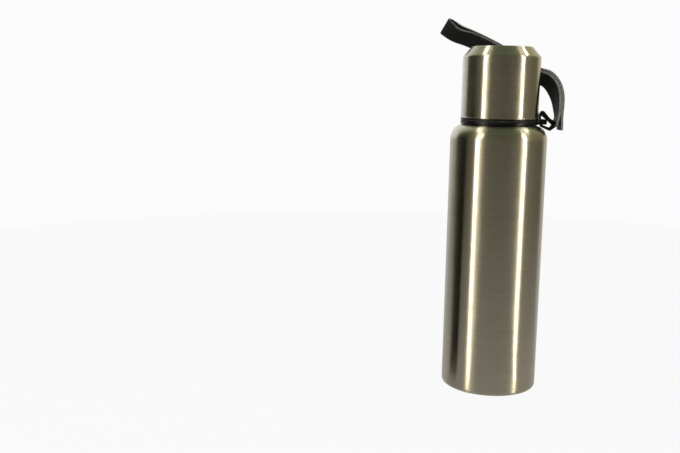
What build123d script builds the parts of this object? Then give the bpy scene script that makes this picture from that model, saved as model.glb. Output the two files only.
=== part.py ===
from build123d import *
import os
from math import cos, radians, sin

os.makedirs("parts", exist_ok=True)

# A steel vacuum flask with a screw-on cup and a strap. All lengths are in millimetres.
# The origin is the centre of the foot on the floor, +Z is up and the strap's ear points along +X.

# Flask body
body_diameter = 83.0
shoulder_height = 232.5
shoulder_radius = 12.5
shell_wall = 0.5
foot_corner_radius = 3.5
foot_width = 1.6
base_recess = 3.4
base_plate_wall = 0.6
neck_step = 6.15
neck_height = 19.5

# Liner inside the vacuum
vacuum_gap = 2.5
vacuum_floor_gap = 5.0
liner_wall = 0.4
liner_corner_radius = 10.0
mouth_step = 3.5
seat_step = 2.7
seat_depth = 25.1
seat_rise = 1.7
seat_lip = 0.2
foil_wall = 0.2
foil_gap = 0.3
getter_diameter = 8.0
getter_height = 1.5
getter_offset = 15.0
seal_disc_diameter = 12.0
seal_disc_height = 0.5

# Thread of the cup on the neck
cup_thread_lead = 12.0
cup_thread_starts = 3
neck_thread_drop = 11.4
neck_thread_height = 8.0
neck_thread_depth = 1.2
cup_thread_depth = 1.3
cup_thread_height = 7.0
thread_root_width = 1.5
thread_crest_width = 0.7
thread_embed = 0.2
cup_thread_gap = 0.5

# Thread of the stopper in the neck
stopper_thread_lead = 8.0
stopper_thread_starts = 2
mouth_thread_drop = 15.0
mouth_thread_height = 9.0
mouth_thread_depth = 0.9
stopper_thread_depth = 1.2
stopper_thread_height = 9.0
stopper_thread_gap = 0.4

# Strap collar
collar_height = 2.9
collar_clearance = 0.2
collar_bore_clearance = 0.3
ear_width = 11.0
ear_height = 4.6
ear_lift = 0.4
ear_bar_depth = 3.4
ear_bar_radius = 1.6
ear_inset = 1.1
ear_cup_clearance = 1.0
ear_hole_width = 5.0
ear_hole_depth = 4.0
collar_edge = 0.5

# Link between the collar and the strap
link_width = 3.6
link_play = 0.5
link_hem_wall = 0.9
link_hem_play = 0.35
link_edge = 0.4
link_reach = 9.81
link_drop = 2.2

# Carrying strap, one strip folded double at its tip
strap_width = 15.0
strap_thickness = 1.9
strap_gap = 0.3
strap_bulge = 0.34
strap_rise = 84.0
strap_tail = 4.7
strap_slot_clearance = 0.6
strap_slot_height = 6.4
strap_slot_depth = 6.0
strap_hem_diameter = 1.9
strap_hem_clearance = 1.45
strap_fold_radius = 3.4
strap_opening = 8.0

# Cup
cup_step = 8.35
cup_height = 62.6
cup_wall = 0.5
cup_cone_height = 8.5
cup_cone_width = 7.55
cup_cone_radius = 3.0
cup_top_radius = 1.2
cup_rim_height = 2.0
cup_rim_edge = 0.5
cup_liner_wall = 1.6
cup_liner_gap = 0.04
cup_skirt_height = 8.0
cup_skirt_slope = 3.0
cup_air_gap = 5.3
cup_floor_cone = 7.3
cup_floor_step = 4.7
cup_seal_width = 1.8
cup_seal_height = 1.05
cup_seal_offset = 1.0
cup_seal_gap = 0.2
cup_clearance = 0.4

# Stopper
plug_wall = 1.5
spigot_gap = 0.8
spigot_height = 6.1
spigot_drop = 2.4
flange_gap = 2.3
flange_height = 3.6
flange_clearance = 0.4
knob_step = 2.1
knob_height = 16.0
knob_grooves = 28
knob_groove_radius = 0.8
deck_wall = 1.5
well_step = 9.0
well_depth = 8.5
pour_opening_width = 14.0
pour_opening_height = 5.0
flow_tube_bore = 14.0
flow_tube_wall = 1.2
stopper_base_height = 2.0
stopper_cover_height = 1.5
foam_gap = 0.3
gasket_thickness = 2.2
gasket_height = 2.2
gasket_gap = 0.2
piece_gap = 0.05

# Pour button and its valve
button_clearance = 0.4
button_height = 6.0
button_wall = 1.8
button_stand = 2.0
button_edge = 1.0
stem_diameter = 4.0
stem_clearance = 0.4
valve_disc_diameter = 18.0
valve_disc_height = 2.0
valve_seal_height = 0.7
valve_seal_gap = 0.2
guide_height = 2.5
guide_hub_wall = 1.5
guide_arm_width = 2.0
guide_arms = 3
guide_height_share = 0.7
spring_diameter = 9.0
spring_wire = 0.9
spring_turns = 5
spring_gap = 0.1

body_radius = body_diameter / 2
cup_radius = body_radius - cup_step
neck_radius = cup_radius - neck_step
mouth_radius = neck_radius - mouth_step
seat_radius = mouth_radius - seat_step
mouth_height = shoulder_height + neck_height
seat_height = mouth_height - seat_depth
neck_thread_bottom = mouth_height - neck_thread_drop
mouth_thread_bottom = mouth_height - mouth_thread_drop
shoulder_turn = body_radius - shoulder_radius
cylinder_top = shoulder_height - shoulder_radius


def save(part, name):
    part.label = name
    export_step(part, f"parts/{name}.step")


def thread_ridges(radius, depth, lead, starts, bottom, height):
    """Helical ridges of trapezoid section on a round wall, outwards for a positive depth."""
    side = 1 if depth > 0 else -1
    with BuildPart() as ridge:
        with BuildLine() as path:
            Helix(pitch=lead, height=height, radius=radius, center=(0, 0, bottom))
        start = path.line @ 0
        with BuildSketch(Plane(origin=start, x_dir=(1, 0, 0), z_dir=path.line % 0)):
            with BuildLine():
                Polyline(
                    (-side * thread_embed, -thread_root_width / 2),
                    (depth, -thread_crest_width / 2),
                    (depth, thread_crest_width / 2),
                    (-side * thread_embed, thread_root_width / 2),
                    close=True,
                )
            make_face()
        sweep(path=path.line, is_frenet=True)
    with BuildPart() as ridges:
        with PolarLocations(0, starts):
            add(ridge.part)
    return ridges.part


# Outer shell: the brushed body, its shoulder and the neck, one drawn sheet
foot_radius = body_radius - foot_corner_radius
shell_neck_top = mouth_height - liner_wall
with BuildPart() as outer_shell:
    with BuildSketch(Plane.XZ):
        with BuildLine():
            foot = Line((foot_radius - foot_width, 0), (foot_radius, 0))
            corner = JernArc(foot @ 1, (1, 0), foot_corner_radius, 90)
            side = Line(corner @ 1, (body_radius, cylinder_top))
            bend = JernArc(side @ 1, (0, 1), shoulder_radius, 90)
            roof = Line(bend @ 1, (neck_radius, shoulder_height))
            neck = Line(roof @ 1, (neck_radius, shell_neck_top))
            mouth = Line(neck @ 1, (neck_radius - shell_wall, shell_neck_top))
            neck_inside = Line(mouth @ 1, (neck_radius - shell_wall, shoulder_height - shell_wall))
            roof_inside = Line(neck_inside @ 1, (shoulder_turn, shoulder_height - shell_wall))
            bend_inside = JernArc(roof_inside @ 1, (1, 0), shoulder_radius - shell_wall, -90)
            side_inside = Line(bend_inside @ 1, (body_radius - shell_wall, foot_corner_radius))
            corner_inside = JernArc(side_inside @ 1, (0, -1), foot_corner_radius - shell_wall, -90)
            foot_inside = Line(corner_inside @ 1, (foot_radius - foot_width, shell_wall))
            Line(foot_inside @ 1, foot @ 0)
        make_face()
    revolve(axis=Axis.Z)
    add(thread_ridges(neck_radius, neck_thread_depth, cup_thread_lead, cup_thread_starts,
                      neck_thread_bottom, neck_thread_height))
save(outer_shell.part, "outer_shell")

# Base plate: the pressed disc welded into the foot, recessed from the floor
plate_radius = foot_radius - foot_width
with BuildPart() as base_plate:
    with BuildSketch(Plane.XZ):
        with BuildLine():
            Polyline(
                (0, base_recess),
                (plate_radius - base_plate_wall, base_recess),
                (plate_radius - base_plate_wall, 0),
                (plate_radius, 0),
                (plate_radius, base_recess + base_plate_wall),
                (0, base_recess + base_plate_wall),
                close=True,
            )
        make_face()
    revolve(axis=Axis.Z)
    fillet(base_plate.edges().filter_by(GeomType.CIRCLE).group_by(Axis.Z)[-1], radius=base_plate_wall)
save(base_plate.part, "base_plate")

# Vacuum seal: the disc that closes the pumping hole under the base plate
with BuildPart() as vacuum_seal:
    with BuildSketch(Plane.XY.offset(base_recess)):
        Circle(seal_disc_diameter / 2)
    extrude(amount=-seal_disc_height)
    fillet(vacuum_seal.edges().group_by(Axis.Z)[0], radius=seal_disc_height / 2)
save(vacuum_seal.part, "vacuum_seal_disc")

# Getter: the pill on the base plate that keeps the vacuum
with BuildPart() as getter:
    with BuildSketch(Plane.XY.offset(base_recess + base_plate_wall)):
        with Locations((getter_offset, 0)):
            Circle(getter_diameter / 2)
    extrude(amount=getter_height)
save(getter.part, "getter_pill")

# Inner liner: the bottle proper, from its floor to the lip of the mouth
liner_radius = body_radius - shell_wall - vacuum_gap
liner_floor = base_recess + base_plate_wall + vacuum_floor_gap
liner_roof = seat_height + seat_lip
liner_turn = liner_radius - liner_corner_radius
inside_radius = liner_radius - liner_wall
inside_corner = liner_corner_radius - liner_wall
inside_roof = liner_roof - liner_wall
neck_liner_radius = mouth_radius + liner_wall
with BuildPart() as inner_liner:
    with BuildSketch(Plane.XZ):
        with BuildLine():
            floor_out = Line((0, liner_floor), (liner_turn, liner_floor))
            low_bend = JernArc(floor_out @ 1, (1, 0), liner_corner_radius, 90)
            wall_out = Line(low_bend @ 1, (liner_radius, liner_roof - liner_corner_radius))
            high_bend = JernArc(wall_out @ 1, (0, 1), liner_corner_radius, 90)
            lip = Polyline(
                high_bend @ 1,
                (neck_liner_radius, liner_roof),
                (neck_liner_radius, shell_neck_top),
                (neck_radius, shell_neck_top),
                (neck_radius, mouth_height),
                (mouth_radius, mouth_height),
                (mouth_radius, seat_height + seat_rise),
                (seat_radius, seat_height),
                (seat_radius, inside_roof),
                (liner_turn, inside_roof),
            )
            high_inside = JernArc(lip @ 1, (1, 0), inside_corner, -90)
            wall_in = Line(high_inside @ 1, (inside_radius, liner_floor + liner_corner_radius))
            low_inside = JernArc(wall_in @ 1, (0, -1), inside_corner, -90)
            floor_in = Line(low_inside @ 1, (0, liner_floor + liner_wall))
            Line(floor_in @ 1, floor_out @ 0)
        make_face()
    revolve(axis=Axis.Z)
    lip_edges = inner_liner.edges().filter_by(GeomType.CIRCLE).group_by(Axis.Z)[-1]
    fillet(lip_edges.sort_by(SortBy.RADIUS)[0], radius=liner_wall / 2)
    add(thread_ridges(mouth_radius, -mouth_thread_depth, stopper_thread_lead, stopper_thread_starts,
                      mouth_thread_bottom, mouth_thread_height))
save(inner_liner.part, "inner_liner")

# Radiation foil: the thin wrap round the liner inside the vacuum
with BuildPart() as radiation_foil:
    with BuildSketch(Plane.XY.offset(liner_floor + liner_corner_radius)):
        Circle(liner_radius + foil_gap + foil_wall)
        Circle(liner_radius + foil_gap, mode=Mode.SUBTRACT)
    extrude(amount=liner_roof - liner_floor - 2 * liner_corner_radius)
save(radiation_foil.part, "radiation_foil")

# Strap collar: the plastic ring under the cup, with the ear that carries the link
collar_bottom = shoulder_height + collar_clearance
collar_top = collar_bottom + collar_height
ear_end = body_radius - ear_inset
bar_x = ear_end - ear_bar_depth / 2
bar_z = collar_bottom + ear_lift + ear_height / 2
hole_inner = bar_x - ear_bar_depth / 2 - ear_hole_depth
with BuildPart() as strap_collar:
    with BuildSketch(Plane.XY.offset(collar_bottom)):
        Circle(cup_radius)
        Circle(neck_radius + collar_bore_clearance, mode=Mode.SUBTRACT)
    extrude(amount=collar_height)
    outer_edges = strap_collar.edges().filter_by(GeomType.CIRCLE).sort_by(SortBy.RADIUS)[-2:]
    fillet(outer_edges, radius=collar_edge)
    ear_start = neck_radius + collar_bore_clearance + (cup_radius - neck_radius) / 2
    with BuildSketch(Plane.XZ):
        with Locations(((ear_start + ear_end) / 2, bar_z)):
            RectangleRounded(ear_end - ear_start, ear_height, ear_bar_radius)
    extrude(amount=ear_width / 2, both=True)
    with BuildSketch(Plane.XZ):
        with Locations(((hole_inner + bar_x) / 2, bar_z)):
            Rectangle(bar_x - hole_inner, ear_height * 2)
        with Locations((bar_x, bar_z)):
            RectangleRounded(ear_bar_depth, ear_height, ear_bar_radius, mode=Mode.SUBTRACT)
    extrude(amount=ear_hole_width / 2, both=True, mode=Mode.SUBTRACT)
    with BuildSketch(Plane.XY.offset(collar_top)):
        Circle(cup_radius + ear_cup_clearance)
    extrude(amount=ear_height, mode=Mode.SUBTRACT)
save(strap_collar.part, "strap_collar")

# Link: a flat plastic loop through the ear, round its bar, and round the strap's hem
hem_x = bar_x + link_reach
hem_z = bar_z - link_drop
bar_turn = ear_height / 2 + link_play
hem_turn = strap_hem_diameter / 2 + link_hem_play
# Each corner holds its reach and rise from the bar and its radius, as shares of the bar's turn
link_corner_shares = [
    (-0.536, 2.643, 0.75),
    (1.464, 0.714, 0.536),
    (link_reach / bar_turn, -link_drop / bar_turn, (hem_turn + link_hem_wall) / bar_turn),
    (1.893, -2.286, 0.464),
    (-0.679, -1.25, 0.375),
    (-1.411, 0.071, 0.339),
    (-1.25, 2.214, 0.357),
]
with BuildPart() as link_loop:
    with BuildSketch(Plane.XZ):
        for i, corner_share in enumerate(link_corner_shares):
            with BuildSketch(mode=Mode.PRIVATE) as member:
                for across, up, radius in (link_corner_shares[i - 1], corner_share):
                    with Locations((bar_x + bar_turn * across, bar_z + bar_turn * up)):
                        Circle(bar_turn * radius)
                make_hull()
            add(member.sketch)
        with Locations((hem_x, hem_z)):
            Circle(hem_turn, mode=Mode.SUBTRACT)
    extrude(amount=link_width / 2, both=True)
    fillet(link_loop.edges().filter_by(lambda edge: abs(abs(edge.center().Y) - link_width / 2) < link_edge / 2),
           radius=link_edge)
save(link_loop.part, "link_loop")

# Strap: the link turns in its hem, between the strip's two ends
parting_at_hem = (hem_turn + link_hem_wall + strap_hem_clearance + strap_thickness / 2) / 2
# Each row holds the angle round the flask in degrees, the shares of the stand-off and of the rise, the
# width's direction as radial, tangential and upward shares, and the shares of the opening and thickness
strap_row_shares = [
    (0.6, 1.025, 0.089, (0.00, -0.97, 0.23), 0.0, 1.13),
    (3.0, 1.033, 0.188, (0.08, -0.99, 0.10), 0.0, 1.2),
    (7.5, 1.028, 0.289, (0.13, -0.89, 0.43), 0.0, 1.32),
    (14.1, 0.955, 0.386, (0.10, -0.84, 0.54), 0.01, 1.47),
    (22.0, 0.798, 0.464, (-0.13, -0.72, 0.68), 0.06, 1.5),
    (30.3, 0.479, 0.502, (-0.32, -0.61, 0.72), 0.06, 1.18),
    (47.7, 0.351, 0.583, (-0.39, -0.52, 0.76), 0.0, 1.03),
    (72.2, 0.404, 0.688, (-0.51, -0.51, 0.69), 0.04, 1.0),
    (95.6, 0.720, 0.798, (-0.57, -0.19, 0.80), 0.13, 1.0),
    (112.3, 1.123, 0.886, (-0.69, -0.13, 0.71), 0.2, 1.0),
    (123.1, 1.454, 0.939, (-0.63, 0.22, 0.74), 0.44, 1.0),
    (128.5, 1.788, 0.998, (-0.41, 0.04, 0.91), 0.0, 1.0),
]
strap_standoff = hem_x + parting_at_hem + strap_bulge - cup_radius
strap_places = [Vector(hem_x + parting_at_hem, 0, hem_z)]
strap_widths = [Vector(0, -1, 0)]
strap_partings = [parting_at_hem]
strand_thicknesses = [strap_thickness]
for row_shares in strap_row_shares:
    angle, out_share, rise_share, (radial, tangential, upward), opening_share, thickness_share = row_shares
    out = Vector(cos(radians(angle)), sin(radians(angle)), 0)
    along = Vector(-out.Y, out.X, 0)
    rise = Vector(0, 0, hem_z + strap_rise * rise_share)
    strap_places.append(out * (cup_radius + strap_standoff * out_share) + rise)
    strap_widths.append(out * radial + along * tangential + Vector(0, 0, upward))
    strand_thicknesses.append(strap_thickness * thickness_share)
    strap_partings.append((strand_thicknesses[-1] + strap_gap + strap_opening * opening_share) / 2)
strap_partings[-1] = strap_fold_radius


def strap_plane(row, side):
    """The plane across one strand at a row, its x along the width. Side 1 is the strand by the cup."""
    before, after = max(row - 1, 0), min(row + 1, len(strap_places) - 1)
    along = (strap_places[after] - strap_places[before]).normalized() if row else Vector(0, 0, 1)
    width = (strap_widths[row] - along * strap_widths[row].dot(along)).normalized()
    inward = width.cross(along)
    return Plane(strap_places[row] + inward * strap_partings[row] * side, x_dir=width, z_dir=along)


strands = {}
for side in (1, -1):
    with BuildPart() as strand:
        for row in range(len(strap_places)):
            with BuildSketch(strap_plane(row, side)):
                Rectangle(strap_width, strand_thicknesses[row])
        loft()
    strands[side] = strand.part

with BuildPart() as inner_strand:
    add(strands[1])
    with BuildSketch(Plane.XZ):
        with Locations((hem_x, hem_z)):
            Circle(strap_hem_diameter / 2)
    extrude(amount=strap_width / 2, both=True)
    slot_width = link_width + 2 * strap_slot_clearance
    with BuildSketch(Plane.XZ):
        with Locations((hem_x, hem_z + strap_slot_height / 2)):
            Rectangle(strap_slot_depth, strap_slot_height)
        with Locations((hem_x, hem_z)):
            Circle(strap_hem_diameter / 2, mode=Mode.SUBTRACT)
    extrude(amount=slot_width / 2, both=True, mode=Mode.SUBTRACT)

tip_plane = strap_plane(len(strap_places) - 1, 1)
with BuildPart() as carry_strap:
    add(inner_strand.part)
    add(strands[-1])
    with BuildSketch(strap_plane(0, -1)):
        Rectangle(strap_width, strap_thickness)
    extrude(amount=-strap_tail)
    with BuildSketch(tip_plane):
        Rectangle(strap_width, strap_thickness)
    revolve(axis=Axis(strap_places[-1], -tip_plane.x_dir), revolution_arc=180)
save(carry_strap.part, "carry_strap")

# Cup shell: the brushed steel cup, upside down on the neck, with a cone at its closed end
cup_bottom = collar_top + cup_clearance
cup_top = cup_bottom + cup_height
steel_bottom = cup_bottom + cup_rim_height
cone_foot = cup_top - cup_cone_height
cup_top_radius_out = cup_radius - cup_cone_width
with BuildPart() as cup_shell:
    with BuildSketch(Plane.XZ):
        with BuildLine():
            Polyline((0, steel_bottom), (cup_radius, steel_bottom), (cup_radius, cone_foot),
                     (cup_top_radius_out, cup_top), (0, cup_top), close=True)
        make_face()
        fillet(vertices().sort_by(Axis.X)[-2:].sort_by(Axis.Y)[-1], radius=cup_cone_radius)
        fillet(vertices().sort_by(Axis.Y)[-2:].sort_by(Axis.X)[-1], radius=cup_top_radius)
    revolve(axis=Axis.Z)
    offset(amount=-cup_wall, openings=cup_shell.faces().sort_by(Axis.Z)[0])
save(cup_shell.part, "cup_shell")

# Cup liner: the plastic inside of the cup, its thread and the black rim under the steel
bore_radius = neck_radius + neck_thread_depth + cup_thread_gap
skirt_radius = cup_radius - cup_wall - cup_liner_gap
cup_liner_radius = bore_radius + cup_liner_wall
cup_floor_top = cup_top - cup_wall - cup_air_gap
floor_radius = bore_radius - cup_floor_step
seal_groove_out = cup_radius - cup_seal_offset
seal_groove_in = seal_groove_out - cup_seal_width - 2 * cup_seal_gap
with BuildPart() as cup_liner:
    with BuildSketch(Plane.XZ):
        with BuildLine():
            Polyline(
                (bore_radius, cup_bottom),
                (cup_radius, cup_bottom),
                (cup_radius, steel_bottom),
                (skirt_radius, steel_bottom),
                (skirt_radius, steel_bottom + cup_skirt_height),
                (cup_liner_radius, steel_bottom + cup_skirt_height + cup_skirt_slope),
                (cup_liner_radius, cup_floor_top - cup_floor_cone),
                (floor_radius, cup_floor_top),
                (0, cup_floor_top),
                (0, cup_floor_top - cup_liner_wall),
                (floor_radius - cup_liner_wall / 2, cup_floor_top - cup_liner_wall),
                (bore_radius, cup_floor_top - cup_floor_cone - cup_liner_wall / 2),
                close=True,
            )
        make_face()
        with Locations(((seal_groove_in + seal_groove_out) / 2, cup_bottom)):
            Rectangle(seal_groove_out - seal_groove_in, 2 * cup_seal_height, mode=Mode.SUBTRACT)
    revolve(axis=Axis.Z)
    rim_edges = cup_liner.edges().filter_by(GeomType.CIRCLE).group_by(Axis.Z)[0]
    fillet(rim_edges.sort_by(SortBy.RADIUS)[-1], radius=cup_rim_edge)
    spacing = cup_thread_lead / cup_thread_starts
    add(thread_ridges(bore_radius, -cup_thread_depth, cup_thread_lead, cup_thread_starts,
                      neck_thread_bottom - spacing / 2, cup_thread_height))
save(cup_liner.part, "cup_liner")

# Cup seal: the soft ring in the rim's groove, which meets the collar first
with BuildPart() as cup_seal:
    with BuildSketch(Plane.XY.offset(cup_bottom - cup_seal_gap)):
        Circle(seal_groove_out - cup_seal_gap)
        Circle(seal_groove_in + cup_seal_gap, mode=Mode.SUBTRACT)
    extrude(amount=cup_seal_height)
save(cup_seal.part, "cup_seal_ring")

# Stopper body: the threaded plug, its flange and the grooved knob in one moulding
plug_radius = mouth_radius - stopper_thread_gap - stopper_thread_depth
spigot_radius = seat_radius - spigot_gap
flange_radius = bore_radius - cup_thread_depth - flange_gap
knob_radius = flange_radius - knob_step
well_radius = knob_radius - well_step
stem_radius = stem_diameter / 2
tube_bore = flow_tube_bore / 2
tube_radius = tube_bore + flow_tube_wall
spigot_bottom = seat_height - spigot_drop
plug_bottom = spigot_bottom + spigot_height
flange_bottom = mouth_height + flange_clearance
knob_bottom = flange_bottom + flange_height
knob_top = knob_bottom + knob_height
lower_deck_top = flange_bottom + deck_wall
well_floor = knob_top - well_depth
cavity_radius = plug_radius - plug_wall
knob_cavity_radius = knob_radius - plug_wall
with BuildPart() as stopper_body:
    with BuildSketch(Plane.XZ):
        with BuildLine():
            Polyline(
                (0, spigot_bottom),
                (spigot_radius, spigot_bottom),
                (spigot_radius, plug_bottom),
                (plug_radius, plug_bottom),
                (plug_radius, flange_bottom),
                (flange_radius, flange_bottom),
                (flange_radius, knob_bottom),
                (knob_radius, knob_bottom),
                (knob_radius, knob_top),
                (0, knob_top),
                close=True,
            )
        make_face()
        with Locations((0, spigot_bottom)):
            Rectangle(spigot_radius - plug_wall, spigot_height + plug_wall, align=(Align.MIN, Align.MIN),
                      mode=Mode.SUBTRACT)
        with Locations((0, plug_bottom + plug_wall)):
            Rectangle(cavity_radius, flange_bottom - plug_bottom - plug_wall, align=(Align.MIN, Align.MIN),
                      mode=Mode.SUBTRACT)
        with Locations((0, flange_bottom)):
            Rectangle(tube_radius + piece_gap, deck_wall, align=(Align.MIN, Align.MIN), mode=Mode.SUBTRACT)
        with Locations((0, lower_deck_top)):
            Rectangle(knob_cavity_radius, well_floor - deck_wall - lower_deck_top,
                      align=(Align.MIN, Align.MIN), mode=Mode.SUBTRACT)
        with Locations((0, well_floor - deck_wall)):
            Rectangle(stem_radius + stem_clearance, deck_wall, align=(Align.MIN, Align.MIN),
                      mode=Mode.SUBTRACT)
        with Locations((0, well_floor)):
            Rectangle(well_radius, well_depth, align=(Align.MIN, Align.MIN), mode=Mode.SUBTRACT)
        with Locations((well_radius + plug_wall, well_floor)):
            Rectangle(knob_cavity_radius - well_radius - plug_wall, well_depth, align=(Align.MIN, Align.MIN),
                      mode=Mode.SUBTRACT)
    revolve(axis=Axis.Z)
    flange_edges = stopper_body.edges().filter_by(GeomType.CIRCLE).group_by(SortBy.RADIUS)[-1]
    fillet(flange_edges, radius=button_edge)
    with BuildSketch(Plane.XY.offset(knob_bottom + knob_groove_radius)):
        with PolarLocations(knob_radius, knob_grooves):
            Circle(knob_groove_radius)
    extrude(amount=knob_height, mode=Mode.SUBTRACT)
    with BuildSketch(Plane.XZ.offset(knob_cavity_radius - plug_wall)):
        with Locations((0, (lower_deck_top + well_floor - deck_wall) / 2)):
            RectangleRounded(pour_opening_width, pour_opening_height, pour_opening_height / 3)
    extrude(amount=2 * (knob_radius - knob_cavity_radius) + plug_wall, mode=Mode.SUBTRACT)
    stopper_spacing = stopper_thread_lead / stopper_thread_starts
    add(thread_ridges(plug_radius, stopper_thread_depth, stopper_thread_lead, stopper_thread_starts,
                      mouth_thread_bottom - stopper_spacing / 2, stopper_thread_height))
save(stopper_body.part, "stopper_body")

# Stopper base: the disc that closes the plug, with the valve seat and the flow tube
with BuildPart() as stopper_base:
    with BuildSketch(Plane.XY.offset(spigot_bottom)):
        Circle(spigot_radius - plug_wall - piece_gap)
        Circle(tube_bore, mode=Mode.SUBTRACT)
    extrude(amount=stopper_base_height)
    with BuildSketch(Plane.XY.offset(spigot_bottom)):
        Circle(tube_radius)
        Circle(tube_bore, mode=Mode.SUBTRACT)
    extrude(amount=lower_deck_top - spigot_bottom)
save(stopper_base.part, "stopper_base")

# Stopper foam: the insulation round the flow tube
with BuildPart() as stopper_foam:
    with BuildSketch(Plane.XY.offset(spigot_bottom + stopper_base_height + foam_gap)):
        Circle(spigot_radius - plug_wall - foam_gap)
        Circle(tube_radius + foam_gap, mode=Mode.SUBTRACT)
    extrude(amount=flange_bottom - spigot_bottom - stopper_base_height - 2 * foam_gap)
save(stopper_foam.part, "stopper_foam")

# Stopper cover: the ring that closes the knob round the button
with BuildPart() as stopper_cover:
    with BuildSketch(Plane.XY.offset(knob_top - stopper_cover_height)):
        Circle(knob_cavity_radius - piece_gap)
        Circle(well_radius + plug_wall + piece_gap, mode=Mode.SUBTRACT)
    extrude(amount=stopper_cover_height)
save(stopper_cover.part, "stopper_cover")

# Stem guide: the spider in the flow tube that keeps the stem central
guide_bottom = spigot_bottom + (flange_bottom - spigot_bottom) * guide_height_share
guide_hub_radius = stem_radius + stem_clearance + guide_hub_wall
with BuildPart() as stem_guide:
    with BuildSketch(Plane.XY.offset(guide_bottom)):
        Circle(tube_bore - piece_gap)
        Circle(tube_bore - flow_tube_wall, mode=Mode.SUBTRACT)
        Circle(guide_hub_radius)
        with PolarLocations((guide_hub_radius + tube_bore - flow_tube_wall) / 2, guide_arms):
            Rectangle(tube_bore - guide_hub_radius, guide_arm_width)
        Circle(stem_radius + stem_clearance, mode=Mode.SUBTRACT)
    extrude(amount=guide_height)
save(stem_guide.part, "stem_guide")

# Stopper gasket: the soft ring round the spigot, over the seat in the mouth
gasket_bottom = plug_bottom - gasket_gap - gasket_height
with BuildPart() as stopper_gasket:
    with BuildSketch(Plane.XY.offset(gasket_bottom)):
        Circle(spigot_radius + gasket_gap / 2 + gasket_thickness)
        Circle(spigot_radius + gasket_gap / 2, mode=Mode.SUBTRACT)
    extrude(amount=gasket_height)
    chamfer(stopper_gasket.edges().group_by(Axis.Z)[0].sort_by(SortBy.RADIUS)[-1], length=gasket_gap)
save(stopper_gasket.part, "stopper_gasket")

# Pour button: the capped plunger in the knob's well
button_radius = well_radius - button_clearance
button_top = knob_top + button_stand
button_under = button_top - button_wall
with BuildPart() as pour_button:
    with BuildSketch(Plane.XY.offset(button_top - button_height)):
        Circle(button_radius)
    extrude(amount=button_height)
    fillet(pour_button.edges().group_by(Axis.Z)[-1], radius=button_edge)
    with BuildSketch(Plane.XY.offset(button_top - button_height)):
        Circle(button_radius - button_wall)
    extrude(amount=button_height - button_wall, mode=Mode.SUBTRACT)
save(pour_button.part, "pour_button")

# Valve: the seal ring on its disc under the stopper, and the stem up to the button
seal_top = spigot_bottom - valve_seal_gap
disc_top = seal_top - valve_seal_height
with BuildPart() as valve_seal:
    with BuildSketch(Plane.XY.offset(disc_top)):
        Circle(valve_disc_diameter / 2)
        Circle(tube_bore, mode=Mode.SUBTRACT)
    extrude(amount=valve_seal_height)
save(valve_seal.part, "valve_seal")

with BuildPart() as valve_disc:
    with BuildSketch(Plane.XY.offset(disc_top - valve_disc_height)):
        Circle(valve_disc_diameter / 2)
    extrude(amount=valve_disc_height)
    fillet(valve_disc.edges().group_by(Axis.Z)[0], radius=valve_disc_height / 2)
save(valve_disc.part, "valve_disc")

with BuildPart() as valve_stem:
    with BuildSketch(Plane.XY.offset(disc_top)):
        Circle(stem_radius)
    extrude(amount=button_under - disc_top)
save(valve_stem.part, "valve_stem")

# Button spring: the coil round the stem that lifts the button and shuts the valve
spring_radius = (spring_diameter - spring_wire) / 2
spring_bottom = well_floor + spring_gap + spring_wire / 2
spring_height = button_under - spring_gap - spring_wire / 2 - spring_bottom
with BuildPart() as button_spring:
    with BuildLine() as coil:
        Helix(pitch=spring_height / spring_turns, height=spring_height, radius=spring_radius,
              center=(0, 0, spring_bottom))
    with BuildSketch(Plane(origin=coil.line @ 0, z_dir=coil.line % 0)):
        Circle(spring_wire / 2)
    sweep(path=coil.line, is_frenet=True)
save(button_spring.part, "button_spring")
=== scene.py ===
import math
import bpy
import numpy as np
from mathutils import Matrix, Vector


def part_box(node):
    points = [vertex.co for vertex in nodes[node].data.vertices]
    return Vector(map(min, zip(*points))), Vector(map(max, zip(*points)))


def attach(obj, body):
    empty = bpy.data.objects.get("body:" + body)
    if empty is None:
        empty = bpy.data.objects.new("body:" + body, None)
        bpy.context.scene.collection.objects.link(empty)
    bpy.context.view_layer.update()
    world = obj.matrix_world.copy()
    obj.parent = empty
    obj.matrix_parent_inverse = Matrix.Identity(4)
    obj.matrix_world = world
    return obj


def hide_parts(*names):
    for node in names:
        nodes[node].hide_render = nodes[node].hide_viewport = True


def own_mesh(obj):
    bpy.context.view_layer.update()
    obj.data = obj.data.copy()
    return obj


# A brushed steel vacuum flask with its cup, stopper, collar and strap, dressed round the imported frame
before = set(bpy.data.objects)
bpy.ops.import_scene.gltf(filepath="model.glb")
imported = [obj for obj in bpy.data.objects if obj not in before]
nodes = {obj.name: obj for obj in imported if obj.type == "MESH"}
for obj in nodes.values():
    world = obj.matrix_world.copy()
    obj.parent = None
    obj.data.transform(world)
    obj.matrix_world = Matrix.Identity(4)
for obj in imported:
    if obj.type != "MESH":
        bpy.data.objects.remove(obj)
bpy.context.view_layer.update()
mm = 0.001
print("frame loaded:", len(nodes), "nodes")


# sRGB hex to linear: each channel c becomes c / 12.92 when it is small, and ((c + 0.055) / 1.055) to the 2.4
# when it is not
def hexToLinear(text):
    channels = [int(text[i:i + 2], 16) / 255 for i in (1, 3, 5)]
    return [c / 12.92 if c <= 0.04045 else ((c + 0.055) / 1.055) ** 2.4 for c in channels] + [1.0]


# Adds one node of a kind, sets its properties, and gives its inputs values or another node's outputs
def addNode(tree, kind, inputs=None, **settings):
    node = tree.nodes.new(kind)
    for name, value in settings.items():
        setattr(node, name, value)
    for name, value in (inputs or {}).items():
        if isinstance(value, bpy.types.NodeSocket):
            tree.links.new(value, node.inputs[name])
        else:
            node.inputs[name].default_value = value
    return node


def newMaterial(name):
    material = bpy.data.materials.new(name)
    material.use_nodes = True
    tree = material.node_tree
    tree.nodes.clear()
    return material, tree


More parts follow.
